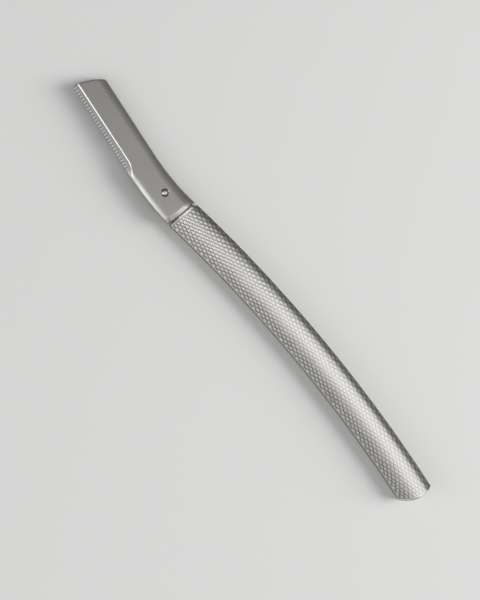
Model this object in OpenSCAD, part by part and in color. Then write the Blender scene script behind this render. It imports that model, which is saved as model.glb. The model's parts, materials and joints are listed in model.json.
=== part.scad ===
// Eyebrow razor with a bowed, knurled handle and a swing clamp head that holds a guarded blade.
// It lies on its flat back: +X runs from the tail to the tip, +Y is the blade's side, +Z is up.

/* [Handle] */
// Curved length from the lowest point of the bow to the front rim
bow_front_len = 68.9; // [60:0.1:80]
// Curved length from the lowest point of the bow to the tail
bow_tail_len = 41.75; // [32:0.05:52]
// Radius of the bow in plan
bow_r = 460; // [300:5:900]
// Widest width of the handle
handle_w = 10.45; // [9.8:0.05:11.2]
// Width of the handle at its front rim
rim_w = 10.35; // [9.6:0.05:11]
// Height of the crest that runs along the handle
crest_h = 5.9; // [5.4:0.1:6.8]
// Height at which the flank starts on the blade's side
edge_h = 3.1; // [2.6:0.1:3.6]
// Width of the steep bevel under that start
edge_bevel_w = 0.35; // [0.15:0.05:0.5]
// Height of that bevel
edge_bevel_h = 0.8; // [0.3:0.05:1]
// Slope of the handle and the head where they meet their side walls along the spine
spine_slope = 48; // [40:1:60]
// Place of the crest, as a share of the width counted from the blade's side
crest_share = 0.66; // [0.6:0.01:0.74]
// Chamfer round the front rim
rim_chamfer = 0.45; // [0.2:0.05:0.6]
// Width of the rim's rounded corner at the spine
rim_corner_w = 1.8; // [1:0.1:2.4]
// Setback of that corner
rim_corner_depth = 0.8; // [0.2:0.1:1.2]
// Chamfer along the two lower edges
foot_chamfer = 0.4; // [0.2:0.05:0.6]
// Radius of the rounded tail in plan
tail_r = 9; // [7:0.1:14]
// Sideways offset of the tail's rounding, towards the spine
tail_shift = 1.2; // [0:0.1:2]

/* [Knurl] */
// Length of one diamond along the handle
diamond_len = 2.5; // [2:0.1:4]
// Width of one diamond across the handle
diamond_w = 1.3; // [1.1:0.05:2]
// Depth of the grooves between the diamonds
knurl_depth = 0.14; // [0.05:0.01:0.25]

/* [Back, bar and pins] */
// Width of the back plate let into the handle
back_w = 6.8; // [6:0.1:7.4]
// Thickness of the back plate
back_t = 0.8; // [0.6:0.05:1]
// Least wall of the handle left behind the back plate
back_end_wall = 1.6; // [1.2:0.1:3]
// Width of the bar that stiffens the handle
bar_w = 4.2; // [3.4:0.1:5]
// Height of the bar
bar_h = 2.3; // [1.8:0.1:2.6]
// Length of the bar inside the neck
bar_in_neck = 3.4; // [2.8:0.1:3.5]
// Step by which the bar's tongue in the neck is slimmer on each side
tongue_step = 0.2; // [0.1:0.05:0.4]
// Least distance from the bar's rear end to the tail
bar_tail_gap = 7; // [6:0.5:14]
// Radius of the handle's pins
handle_pin_r = 0.8; // [0.6:0.05:1]
// Distance of each handle pin from its end of the handle
handle_pin_inset = 14; // [10:0.5:24]
// Radius of the neck's pin
neck_pin_r = 0.7; // [0.5:0.05:0.9]
// Distance of the neck's pin from the junction
neck_pin_inset = 1.9; // [1.6:0.1:2.1]
// Depth that the neck's pin enters the neck above the tongue
neck_pin_bite = 0.8; // [0.5:0.1:1]

/* [Head] */
// Distance from the front rim to the rivet
neck_reach = 8.04; // [7.8:0.02:9]
// Tilt of the head against the X axis
head_tilt = 5.5; // [3:0.1:8]
// Direction in which the junction faces, against the X axis
mitre_a = 3.1; // [0:0.1:5]
// Hairline gap between the handle and the neck
junction_gap = 0.12; // [0.1:0.02:0.3]
// Extra opening of that gap at its corner on the blade's side
corner_gap = 0.6; // [0:0.1:0.8]
// Width over which the gap opens to that corner
corner_gap_w = 2.6; // [1.5:0.1:3.5]
// Distance from the rivet to the tip, along the blade's side
tip_reach = 41.6; // [36:0.1:46]
// Distance from the rivet to where the cover flares out behind the blade
heel_reach = 13.2; // [12.4:0.1:14]
// Length of that flare
flare_len = 4.6; // [3.6:0.1:5.2]
// Offset of the cover's edge along the blade
blade_side = 4.3; // [4:0.05:4.6]
// Offset of the neck's widest point on the blade's side
neck_side = 6.05; // [5.7:0.05:6.4]
// Offset of the spine along the blade
spine_side = 3.5; // [3.2:0.05:3.8]
// Amount by which the spine draws in towards the tip
tip_narrowing = 0.2; // [0:0.05:0.4]
// Distance from the rivet to where the spine starts to bend
spine_bend_reach = 13; // [10:0.5:20]
// Step by which the neck's end is narrower than the rim on each side
neck_step = 0.05; // [0:0.05:0.2]
// Height of the neck at the junction
neck_top_h = 5.55; // [5.2:0.05:6.2]
// Height of the cover at the tip
tip_top_h = 4.2; // [4:0.05:4.6]
// Height of the neck's underside
neck_floor_h = 0.4; // [0.3:0.05:0.5]
// Slant of the tip, from square
tip_slant = 22; // [10:1:30]
// Bulge of the tip's end
tip_bulge = 0.2; // [0:0.05:0.6]
// Rounding of the tip's corner at the spine
tip_corner_r = 0.8; // [0.5:0.1:1.6]
// Drop of the cover's top at the tip's end
tip_round_h = 0.3; // [0.15:0.05:0.5]
// Width of the bright chamfer along the cover's edge
cover_chamfer = 0.35; // [0.2:0.05:0.6]
// Slope of that chamfer
chamfer_slope = 36; // [20:1:50]
// Width of the rounded shoulder on the neck's blade side
shoulder_w = 2.7; // [1.6:0.1:2.8]
// Slope of that shoulder where it meets the side wall
shoulder_slope = 35; // [30:1:50]
// Width of the rounding along the spine
spine_round_w = 2.5; // [1.8:0.1:2.8]
// Width of that rounding at the neck's end
neck_round_w = 3.2; // [2.4:0.1:3.4]
// Width of the rounded bevel across the neck's end
neck_end_w = 1.2; // [0.8:0.1:2]
// Slope of that bevel at the junction
neck_end_slope = 26; // [15:1:35]
// Width over which that bevel fades towards the spine
neck_end_fade = 6.5; // [4:0.5:9]
// Thickness of the flange that closes the head along the spine
flange_t = 0.65; // [0.5:0.05:0.8]
// Radius of the thumb notch in the flange
notch_r = 7; // [5:0.5:9]
// Distance from the rivet to the notch
notch_reach = 30; // [24:1:32]

/* [Clamp plate] */
// Height of the plate's underside
plate_z = 1; // [0.95:0.05:1.2]
// Thickness of the plate
plate_t = 1; // [0.8:0.05:1.1]
// Radius of the plate's round end
plate_end_r = 3.3; // [2.8:0.1:3.4]
// Setback of the plate's edge from the cover's edge
plate_setback = 0.2; // [0.1:0.05:0.4]
// Setback of the plate's tip from the cover's tip
plate_tip_setback = 0.4; // [0.3:0.1:0.8]
// Angle through which the clamp opens
swing_a = 75; // [45:1:80]

/* [Blade and guard] */
// Thickness of the blade
blade_t = 0.3; // [0.2:0.05:0.4]
// Distance from the cover's tip to the end of the cutting edge
blade_end_gap = 0.1; // [0:0.05:0.4]
// Reach of the blade's corner beyond the end of its cutting edge
nib_reach = 0.5; // [0.2:0.05:0.7]
// Distance of that corner from the cutting edge
nib_inset = 0.95; // [0.7:0.05:1.3]
// Distance from the flare's end at the neck to the blade's heel
blade_heel_gap = 0.8; // [0.6:0.1:1.2]
// Width of the blade that shows beside the cover
blade_show = 1.65; // [1.4:0.05:1.8]
// Width of the blade under the cover
blade_hold = 6.1; // [5.6:0.05:6.3]
// Width of the ground bevel
grind_w = 0.7; // [0.4:0.05:0.9]
// Flat left on the cutting edge
edge_flat = 0.03; // [0.02:0.01:0.05]
// Thickness of the guard's sheet
guard_t = 0.12; // [0.08:0.01:0.16]
// Length of the guard's heel before its first tooth
guard_heel_len = 2.2; // [2:0.1:2.8]
// Distance from one guard tooth to the next
guard_pitch = 1; // [0.8:0.05:1.4]
// Reach of the guard's teeth beyond the cutting edge
guard_reach = 0.22; // [0.15:0.01:0.3]
// Length of the guard's teeth
tooth_len = 0.95; // [0.6:0.05:1.05]
// Radius of the two pegs that hold the blade
peg_r = 0.9; // [0.7:0.05:1.1]
// Distance of each peg from its end of the blade
peg_inset = 7; // [5:0.5:9]

/* [Pivot] */
// Radius of the rivet's shank
rivet_r = 0.75; // [0.6:0.05:0.85]
// Radius of the rivet's domed head
rivet_head_r = 1; // [0.95:0.05:1.1]
// Height of the dome
rivet_dome_h = 0.45; // [0.3:0.05:0.6]
// Radius of the recess round the rivet's head
recess_r = 1.22; // [1.2:0.02:1.4]
// Depth of that recess
recess_depth = 0.4; // [0.2:0.05:0.5]
// Thickness of the rivet's head under its dome
rivet_head_t = 0.5; // [0.3:0.05:0.6]
// Radius of the rivet's formed tail
rivet_tail_r = 1.3; // [1.1:0.05:1.5]
// Thickness of the rivet's formed tail
rivet_tail_t = 0.22; // [0.15:0.01:0.3]
// Radius of the flat washer
washer_r = 1.9; // [1.7:0.1:2.2]
// Thickness of the flat washer
washer_t = 0.22; // [0.15:0.01:0.25]
// Thickness of the spring washer's sheet
spring_t = 0.12; // [0.08:0.01:0.14]
// Dish of the spring washer
spring_dish = 0.14; // [0.08:0.01:0.16]

/* [Fits] */
// Radial clearance of the plate on the rivet
running_fit = 0.05; // [0.02:0.01:0.08]
// Clearance round fixed pins, washers and pegs
pin_fit = 0.02; // [0.01:0.01:0.04]
// Clearance round the bar and the back plate
seat_fit = 0.05; // [0.02:0.01:0.08]
// Clearance between the clamp and the cover
swing_gap = 0.1; // [0.08:0.01:0.15]

/* [Hidden] */

satin = [0.66, 0.65, 0.63];
bright = [0.82, 0.82, 0.8];
dark_steel = [0.45, 0.45, 0.46];
turn = 360;
quarter = 90;
degrees_per_radian = turn / (2 * PI);
overrun = 1;
smooth_fn = 96;
bow_fn = 1440;

// Length over which the handle's rows turn to meet the mitred junction
mitre_run = 20;
// Length over which they bend back to the rim's corner
corner_run = 4;
// Length over which the knurl's rows bend to the rounded tail
tail_run = 15;
// Segments round the neck's end, the shoulder and the spine
end_steps = 4;
shoulder_steps = 5;
spine_steps = 7;
// Stations along the cover, as shares of its length, closer where its outline turns
cover_shares = [0.04, 0.08, 0.12, 0.16, 0.2, 0.24, 0.28, 0.31, 0.34, 0.36, 0.38, 0.4, 0.42,
                0.46, 0.52, 0.6, 0.7, 0.8, 0.88, 0.94];
// Share of the tooth pitch that a tooth fills at its root and at its tip
tooth_root_share = 0.62;
tooth_tip_share = 0.36;
// Extra angle left behind the plate when it is fully open
swing_margin = 4;
// Share of the neck over which its shoulder grows to full size
shoulder_run_share = 0.55;
// Half the distance between the points that give the outline's direction
probe = 0.05;
// Steps along the guard's heel where it follows the flare
heel_steps = 8;

function limit01(v) = min(max(v, 0), 1);
function ease(v) = let (u = limit01(v)) u * u * (3 - 2 * u);
function mix(a, b, v) = a + (b - a) * v;
function turned(p, a) = [p.x * cos(a) - p.y * sin(a), p.x * sin(a) + p.y * cos(a)];

// The bow: a point at a length t along it and a sideways offset y towards the blade's side
function bow_angle(t) = t / bow_r * degrees_per_radian;
function bow_point(t, y) =
    let (a = bow_angle(t)) [(bow_r - y) * sin(a), bow_r - (bow_r - y) * cos(a)];

// The handle's section: the flank rises to the crest, then an arc falls to the spine's wall
crest_in = crest_share * handle_w;
flank_len = norm([crest_in, crest_h - edge_h]);
spine_len = (handle_w - crest_in) / sin(spine_slope) * spine_slope / degrees_per_radian;
flank_cols = 2 * round(flank_len / diamond_w);
spine_cols = 2 * round(spine_len / diamond_w);
top_cols = flank_cols + spine_cols;
function handle_width(t) = handle_w - (handle_w - rim_w) * pow(t / bow_front_len, 2);
function flank_point(v, w, inset) =
    [w / 2 - mix(edge_bevel_w, crest_share * w, v),
     mix(edge_h, crest_h, sin(quarter * v)) - inset];
// A point of an arc that starts level, runs w sideways and ends at the spine's slope
function arc_run(v, w) = w * sin(spine_slope * v) / sin(spine_slope);
function arc_drop(v, w) = w * (1 - cos(spine_slope * v)) / sin(spine_slope);
function spine_point(v, w, inset) =
    let (sw = (1 - crest_share) * w)
    [sw - w / 2 - arc_run(v, sw), crest_h - inset - arc_drop(v, sw)];
function top_point(col, w, inset) =
    col <= flank_cols ? flank_point(col / flank_cols, w, inset)
                      : spine_point((col - flank_cols) / spine_cols, w, inset);
function inward(col, w) =
    let (d = top_point(min(col + 1, top_cols), w, 0) - top_point(max(col - 1, 0), w, 0))
    [d.y, -d.x] * -1 / norm(d);
function is_groove(row, col) =
    row > 0 && row < handle_rows && col > 0 && col < top_cols && (row + col) % 2 == 0;
function knurled_point(row, col, w, inset) =
    top_point(col, w, inset) + (is_groove(row, col) ? knurl_depth : 0) * inward(col, w);
function outer_section(row, w, inset) = concat(
    [[w / 2 - foot_chamfer, 0], [w / 2, foot_chamfer], [w / 2, edge_h - edge_bevel_h - inset]],
    [for (col = [0 : top_cols]) knurled_point(row, col, w, inset)],
    [[-w / 2, foot_chamfer], [foot_chamfer - w / 2, 0]]);
// The recess for the back plate and, above it, the channel for the bar
bar_z = back_t + seat_fit;
bar_top = bar_z + bar_h;
recess_side = back_w / 2 + seat_fit;
channel_side = bar_w / 2 + seat_fit;
channel_top = bar_top + seat_fit;
inner_section = [[-recess_side, 0], [-recess_side, back_t], [-channel_side, back_t],
                 [-channel_side, channel_top], [channel_side, channel_top],
                 [channel_side, back_t], [recess_side, back_t], [recess_side, 0]];

// Rows of the handle from the tail to the rim: they bend to the round tail and to the mitre
row_span = bow_front_len + bow_tail_len - rim_chamfer;
handle_rows = 2 * round(row_span / diamond_len);
row_step = row_span / handle_rows;
mitre_skew = bow_angle(bow_front_len) - mitre_a;
function row_t(row) = row * row_step - bow_tail_len;
function tail_fall(y) = tail_r - sqrt(pow(tail_r, 2) - pow(y + tail_shift, 2));
function corner_fall(y) =
    rim_corner_depth * pow(limit01((rim_corner_w - rim_w / 2 - y) / rim_corner_w), 2);
function bent_t(t, y, run) =
    t + y * tan(mitre_skew) * ease((t - bow_front_len + mitre_run) / mitre_run)
      - corner_fall(y) * ease((t - bow_front_len + corner_run) / corner_run)
      + tail_fall(y) * ease(1 - (t + bow_tail_len) / run);
back_row = ceil((back_end_wall + tail_fall(recess_side)) / row_step);
bar_row = max(ceil(bar_tail_gap / row_step), back_row + 1);
function on_bow(p, t, run) =
    let (q = bow_point(bent_t(t, p.x, run), p.x)) [q.x, q.y, p.y];
function handle_ring(row, t, inset) = concat(
    [for (p = outer_section(row, handle_width(t) - 2 * inset, inset)) on_bow(p, t, tail_run)],
    [for (p = inner_section) on_bow(p, t, back_row * row_step)]);

// Head frame: its origin is the rivet and its x axis runs along the blade
rim_centre = bow_point(bow_front_len, 0);
rivet_at = rim_centre + [neck_reach, 0];
rim_in_head = turned([-neck_reach, 0], head_tilt);
head_mitre = mitre_a + head_tilt;
neck_x = rim_in_head.x + rim_in_head.y * tan(head_mitre) + junction_gap / cos(head_mitre);
neck_end_side = rim_in_head.y + rim_w / 2 - neck_step;
neck_end_spine = rim_w / 2 - neck_step - rim_in_head.y;
flare_x = heel_reach - flare_len;
cover_len = tip_reach - neck_x;
function cover_edge(x) =
    mix(blade_side, neck_side, ease((heel_reach - x) / flare_len))
    - (neck_side - neck_end_side) * pow(max(0, flare_x - x) / (flare_x - neck_x), 2);
function neck_share(x) = limit01((spine_bend_reach - x) / (spine_bend_reach - neck_x));
function cover_spine(x) =
    tip_narrowing * limit01((x - spine_bend_reach) / (tip_reach - spine_bend_reach))
    - mix(spine_side, neck_end_spine, pow(neck_share(x), 2));
function cover_top(x) = mix(neck_top_h, tip_top_h, (x - neck_x) / cover_len);
function shoulder_share(x) =
    ease((heel_reach - x) / ((heel_reach - neck_x) * shoulder_run_share));
// Share of a bevel's drop that keeps its slope where the outline turns away from the head's axis
function lean_share(x) = 2 * probe / norm([2 * probe, cover_edge(x + probe) - cover_edge(x - probe)]);
// How far a point counts to the neck's corners, where its end stays sharp
function corner_share(x, y) =
    limit01((y - neck_end_side + corner_gap_w) / corner_gap_w) * ease(x / neck_x);
function spine_share(x, y) =
    limit01((neck_end_fade - neck_end_spine - y) / neck_end_fade) * ease(x / neck_x);
function sharp_share(x, y) = max(corner_share(x, y), spine_share(x, y));
// Drop of a bevel of width w at a share v of it, as its slope grows from a0 to a1
function bevel_drop(v, w, a0, a1) = w * v * mix(tan(a0), tan(a1), v / 2);
// Section of the cover at x from the blade's side over the top: sideways places and falls
function cover_section(x, spine_in) =
    let (edge = cover_edge(x),
         spine = cover_spine(x) + spine_in,
         share = shoulder_share(x),
         sw = mix(cover_chamfer, shoulder_w, share),
         a0 = mix(chamfer_slope, 0, share),
         a1 = mix(chamfer_slope, shoulder_slope, share),
         rw = mix(spine_round_w, neck_round_w, neck_share(x)))
    concat([for (v = [1 : -1 / shoulder_steps : 0])
               [edge - sw * (1 - v), bevel_drop(v, sw, a0, a1) * lean_share(x)]],
           [for (i = [0 : spine_steps])
               [spine + rw - arc_run(i / spine_steps, rw), arc_drop(i / spine_steps, rw)]]);
// The end at the junction leans with the mitre, and the tip's end is slanted and bulges
function leaned_x(x, y) =
    let (into_tip = ease((x - notch_reach) / (tip_reach - notch_reach)),
         v = (blade_side - y) / (blade_side + spine_side))
    x - y * tan(head_mitre) * ease(x / neck_x) + corner_gap * corner_share(x, y)
      + into_tip * (tip_bulge * 4 * v * (1 - v) - (blade_side - y) * tan(tip_slant));
function cover_point(x, y, z) = [leaned_x(x, y), y, z];
function cover_ring(x, spine_in, drop) =
    let (section = cover_section(x, spine_in))
    concat([cover_point(x, cover_edge(x), neck_floor_h)],
           [for (p = section)
               cover_point(x, p.x, cover_top(x) - p.y - drop * (1 - sharp_share(x, p.x)))],
           [cover_point(x, cover_spine(x) + spine_in, neck_floor_h)]);
function end_fall(i, r) = r * (1 - sin(quarter * i / end_steps));
cover_rings = concat(
    [for (v = [1 : -1 / end_steps : 0])
        cover_ring(neck_x + neck_end_w * (1 - v), 0,
                   bevel_drop(v, neck_end_w, neck_end_slope / 2, neck_end_slope))],
    [for (s = cover_shares) cover_ring(neck_x + s * cover_len, 0, 0)],
    [for (i = [end_steps : -1 : 0])
        cover_ring(tip_reach - tip_corner_r * (1 - cos(quarter * i / end_steps)),
                   end_fall(i, tip_corner_r), end_fall(i, tip_round_h))]);

// Heights in the head, from the plate upwards
plate_top = plate_z + plate_t;
blade_top = plate_top + blade_t;
cover_under = blade_top + swing_gap;
flange_in = spine_side - tip_narrowing - flange_t;
plate_spine = flange_in - swing_gap;
plate_side = blade_side - plate_setback;

// The blade and its pegs
blade_x = flare_x + blade_heel_gap;
blade_tip = tip_reach - blade_end_gap;
blade_len = blade_tip - blade_x;
nib_at = [blade_tip + nib_reach, blade_side + blade_show - nib_inset];
blade_edge = blade_side + blade_show;
blade_back = blade_side - blade_hold;
peg_x = [blade_x + peg_inset, blade_tip - peg_inset];
peg_y = (blade_back + plate_side) / 2;

// Lengths along the bow where the bar, the back plate and the pins lie
bar_rear_t = row_t(bar_row) + seat_fit;
back_rear_t = row_t(back_row) + seat_fit;
back_front_t = bow_front_len - rim_chamfer - recess_side * tan(abs(mitre_skew));
handle_pin_ts = [handle_pin_inset - bow_tail_len, bow_front_len - handle_pin_inset];

// Heights in the pivot, from the plate downwards
spring_base = plate_z - spring_dish - spring_t - swing_gap / 2;
washer_base = spring_base - washer_t;
rivet_base = washer_base - rivet_tail_t;
recess_base = cover_top(0) - recess_depth;
rivet_head_base = recess_base - rivet_head_t;

// The whole model is shifted so that its box is centred on the origin, standing on z = 0
function spine_foot(t) =
    let (y = -handle_width(t) / 2) bow_point(bent_t(t, y, tail_run), y);
outline = concat(
    [for (row = [0 : handle_rows]) spine_foot(row_t(row))],
    [bow_point(-bow_tail_len, -tail_shift), rivet_at + turned(nib_at, -head_tilt)],
    [for (s = cover_shares)
        let (x = neck_x + s * cover_len) rivet_at + turned([leaned_x(x, cover_edge(x)),
                                                            cover_edge(x)], -head_tilt)]);
box_x = [min([for (p = outline) p.x]), max([for (p = outline) p.x])];
box_y = [min([for (p = outline) p.y]), max([for (p = outline) p.y])];
centre_shift = [-(box_x[0] + box_x[1]) / 2, -(box_y[0] + box_y[1]) / 2, 0];

// Faces of the strip between columns a and b of rings with n points, from row i0 to row i1
function strip(n, i0, i1, a, b) = [for (i = [i0 : i1 - 1])
    let (p = i * n + a, q = i * n + b, r = p + n, s = q + n)
    each (i + a) % 2 == 0 ? [[p, r, q], [r, s, q]] : [[p, r, s], [p, s, q]]];
function fan(c, points) = [for (k = [0 : len(points) - 2]) [c, points[k], points[k + 1]]];
function nearest(v, values) =
    let (gaps = [for (w = values) abs(v - w)]) search(min(gaps), gaps)[0];

// Joins rings of equal length into one closed solid
module loft(rings) {
    n = len(rings[0]);
    m = len(rings);
    points = concat([for (r = rings) each r], [middle(rings[0]), middle(rings[m - 1])]);
    sides = [for (k = [0 : n - 1]) each strip(n, 0, m - 1, k, (k + 1) % n)];
    first = [for (k = [0 : n]) k % n];
    last = [for (k = [n : -1 : 0]) (m - 1) * n + k % n];
    polyhedron(points, concat(sides, fan(m * n, first), fan(m * n + 1, last)));
}

function middle(ring) =
    let (lo = [for (i = [0 : 2]) min([for (p = ring) p[i]])],
         hi = [for (i = [0 : 2]) max([for (p = ring) p[i]])]) (lo + hi) / 2;

// A strip of constant width that follows the bow
module bow_strip(t0, t1, width, z0, z1) {
    translate([0, bow_r, z0])
        rotate([0, 0, bow_angle(t0) - quarter])
            rotate_extrude(angle = bow_angle(t1) - bow_angle(t0), $fn = bow_fn)
                translate([bow_r - width / 2, 0])
                    square([width, z1 - z0]);
}

module bow_pin(t, r, z0, z1) {
    p = bow_point(t, 0);
    translate([p.x, p.y, z0])
        cylinder(r = r, h = z1 - z0, $fn = smooth_fn);
}

// The rim's frame: x points straight out of the handle
module in_rim() {
    translate([rim_centre.x, rim_centre.y, 0])
        rotate([0, 0, bow_angle(bow_front_len)])
            children();
}

// Front end of the bar, in the neck; fit enlarges it to the neck's socket
module tongue(fit) {
    side = bar_w / 2 - tongue_step + fit;
    in_rim() translate([-overrun, -side, bar_z + tongue_step - fit])
        cube([overrun + junction_gap + bar_in_neck + fit, 2 * side,
              bar_h - 2 * tongue_step + 2 * fit]);
}

// The neck's pin from height z to above the tongue; fit enlarges it to its bore
module neck_bore(z, fit) {
    in_rim() translate([junction_gap + neck_pin_inset, 0, z])
        cylinder(r = neck_pin_r + fit, h = bar_top + neck_pin_bite + fit - z, $fn = smooth_fn);
}

module in_head() {
    translate([rivet_at.x, rivet_at.y, 0])
        rotate([0, 0, -head_tilt])
            children();
}

module centred() {
    translate(centre_shift)
        children();
}

// Knurled upper shell of the handle, open below for the bar and the back plate
module handle_shell() {
    rings = concat([for (row = [0 : handle_rows]) handle_ring(row, row_t(row), 0)],
                   [handle_ring(0, bow_front_len, rim_chamfer)]);
    n = len(rings[0]);
    rim = len(rings) - 1;
    // The inner section's points are numbered from a, after the outer section's
    a = n - len(inner_section);
    sides = [for (k = [0 : a - 1]) each strip(n, 0, rim, k, k + 1)];
    recess = [for (k = [0, 1, 5, 6]) each strip(n, back_row, rim, a + k, a + k + 1)];
    channel = [for (k = [2, 3, 4]) each strip(n, bar_row, rim, a + k, a + k + 1)];
    below = concat(strip(n, 0, rim, a + 7, 0), strip(n, 0, back_row, a, a + 7),
                   strip(n, back_row, bar_row, a + 2, a + 5));
    walls = concat(fan(back_row * n + a, [for (k = [1, 2, 5, 6, 7]) back_row * n + a + k]),
                   fan(bar_row * n + a + 2, [for (k = [3, 4, 5]) bar_row * n + a + k]));
    // The tail's wall drops from the columns to the nearest of five points along its lower edge
    apex = n * (rim + 1);
    feet = [0, a + 7, apex, a, a - 1];
    tail_w = handle_width(-bow_tail_len);
    feet_y = [tail_w / 2, recess_side, -tail_shift, -recess_side, -tail_w / 2];
    foot_of = [for (col = [0 : top_cols]) feet[nearest(top_point(col, tail_w, 0).x, feet_y)]];
    tail = concat([[0, 1, 2], [0, 2, 3], [top_cols + 3, a - 2, a - 1], [a + 7, apex, a]],
                  [for (k = [0 : top_cols - 1]) [k + 3, k + 4, foot_of[k + 1]]],
                  [for (k = [0 : top_cols - 1]) if (foot_of[k] != foot_of[k + 1])
                      [k + 3, foot_of[k + 1], foot_of[k]]]);
    // The rim's face is filled from the corners of the recess and of the channel
    f = rim * n;
    crest = 3 + flank_cols;
    face = concat(fan(f + a + 6, [for (k = [a + 5, a + 4, 2, 1, 0, a + 7]) f + k]),
                  fan(f + a + 4, [for (k = [crest : -1 : 2]) f + k]),
                  [[f + a + 3, f + crest, f + a + 4]],
                  fan(f + a + 3, [for (k = [3 + top_cols : -1 : crest]) f + k]),
                  fan(f + a + 1, [for (k = [a, a - 1, a - 2, a - 3, a + 3, a + 2]) f + k]));
    color(satin) centred()
        polyhedron(concat([for (r = rings) each r],
                          [on_bow([-tail_shift, 0], -bow_tail_len, tail_run)]),
                   concat(sides, recess, channel, below, walls, tail, face));
}

module handle_back() {
    color(satin) centred() difference() {
        bow_strip(back_rear_t, back_front_t, back_w, 0, back_t);
        for (t = handle_pin_ts)
            bow_pin(t, handle_pin_r + pin_fit, -overrun, back_t + overrun);
    }
}

module stiffening_bar() {
    color(dark_steel) centred() difference() {
        union() {
            bow_strip(bar_rear_t, bow_front_len, bar_w, bar_z, bar_top);
            tongue(0);
        }
        for (t = handle_pin_ts)
            bow_pin(t, handle_pin_r + pin_fit, 0, bar_top + overrun);
        neck_bore(0, pin_fit);
    }
}

module handle_pins() {
    color(bright) centred() for (t = handle_pin_ts)
        bow_pin(t, handle_pin_r, pin_fit, bar_top);
}

module neck_pin() {
    color(bright) centred()
        neck_bore(neck_floor_h + pin_fit, 0);
}

// Room under the cover for the plate's round end, its blade and its swing out to the side
module clamp_room() {
    room_r = plate_end_r + 2 * swing_gap;
    stop_a = swing_a + swing_margin + atan((plate_side - plate_end_r) / heel_reach);
    stop_point = turned([0, room_r], stop_a);
    stop_far = stop_point + turned([tip_reach, 0], stop_a);
    linear_extrude(cover_under + overrun) {
        circle(r = room_r, $fn = smooth_fn);
        polygon([[0, -flange_in], [tip_reach + overrun, -flange_in],
                 [tip_reach + overrun, stop_far.y], stop_far, stop_point]);
    }
}

// Upper jaw: one shell from the junction to the tip, hollow below, with the rivet's seat
module head_cover() {
    color(satin) centred() difference() {
        in_head() difference() {
            loft(cover_rings);
            translate([0, 0, -overrun])
                clamp_room();
            translate([0, 0, -overrun])
                cylinder(r = rivet_r + pin_fit, h = neck_top_h + 2 * overrun, $fn = smooth_fn);
            translate([0, 0, recess_base])
                cylinder(r = recess_r, h = neck_top_h, $fn = smooth_fn);
            translate([0, 0, rivet_head_base])
                cylinder(r = rivet_head_r + pin_fit, h = neck_top_h, $fn = smooth_fn);
            translate([notch_reach, -flange_in + swing_gap, cover_under - notch_r])
                rotate([quarter, 0, 0])
                    cylinder(r = notch_r, h = spine_side + overrun, $fn = smooth_fn);
        }
        tongue(seat_fit);
        neck_bore(0, pin_fit);
    }
}

// Rivet with a low dome, a shank through the clamp and a formed tail
module pivot_rivet() {
    dome_base = rivet_head_base + rivet_head_t;
    sphere_r = (pow(rivet_head_r, 2) + pow(rivet_dome_h, 2)) / (2 * rivet_dome_h);
    color(bright) centred() in_head() {
        translate([0, 0, rivet_base])
            cylinder(r = rivet_tail_r, h = rivet_tail_t, $fn = smooth_fn);
        translate([0, 0, rivet_base])
            cylinder(r = rivet_r, h = dome_base - rivet_base, $fn = smooth_fn);
        translate([0, 0, rivet_head_base])
            cylinder(r = rivet_head_r, h = rivet_head_t, $fn = smooth_fn);
        intersection() {
            translate([0, 0, dome_base + rivet_dome_h - sphere_r])
                sphere(r = sphere_r, $fn = smooth_fn);
            translate([0, 0, dome_base - rivet_head_t / 2])
                cylinder(r = rivet_head_r, h = rivet_head_t / 2 + rivet_dome_h + overrun,
                         $fn = smooth_fn);
        }
    }
}

module rivet_washer() {
    color(bright) centred() in_head() translate([0, 0, washer_base]) difference() {
        cylinder(r = washer_r, h = washer_t, $fn = smooth_fn);
        translate([0, 0, -overrun])
            cylinder(r = rivet_r + pin_fit, h = washer_t + 2 * overrun, $fn = smooth_fn);
    }
}

// Dished spring washer that gives the swing its friction
module spring_washer() {
    inner = rivet_r + pin_fit;
    color(dark_steel) centred() in_head() translate([0, 0, spring_base])
        rotate_extrude($fn = smooth_fn)
            polygon([[inner, spring_dish], [washer_r, 0], [washer_r, spring_t],
                     [inner, spring_dish + spring_t]]);
}

// Lower jaw: swings on the rivet and carries the blade
module clamp_plate() {
    tip_x = tip_reach - plate_tip_setback;
    tip_back_x = tip_x - (plate_side + plate_spine) * tan(tip_slant);
    color(satin) centred() in_head() difference() {
        union() {
            translate([0, 0, plate_z])
                linear_extrude(plate_t) {
                    circle(r = plate_end_r, $fn = smooth_fn);
                    polygon([[0, -plate_spine], [tip_back_x, -plate_spine],
                             [tip_x, plate_side], [heel_reach, plate_side], [0, plate_end_r]]);
                }
            translate([0, 0, plate_z])
                cylinder(r = plate_end_r, h = plate_t + blade_t, $fn = smooth_fn);
        }
        translate([0, 0, plate_z - overrun])
            cylinder(r = rivet_r + running_fit, h = plate_t + blade_t + 2 * overrun,
                     $fn = smooth_fn);
        for (x = peg_x)
            translate([x, peg_y, plate_z - overrun])
                cylinder(r = peg_r + pin_fit, h = plate_t + 2 * overrun, $fn = smooth_fn);
    }
}

module blade_pegs() {
    color(bright) centred() in_head() for (x = peg_x)
        translate([x, peg_y, plate_z])
            cylinder(r = peg_r, h = plate_t + blade_t - pin_fit, $fn = smooth_fn);
}

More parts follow.
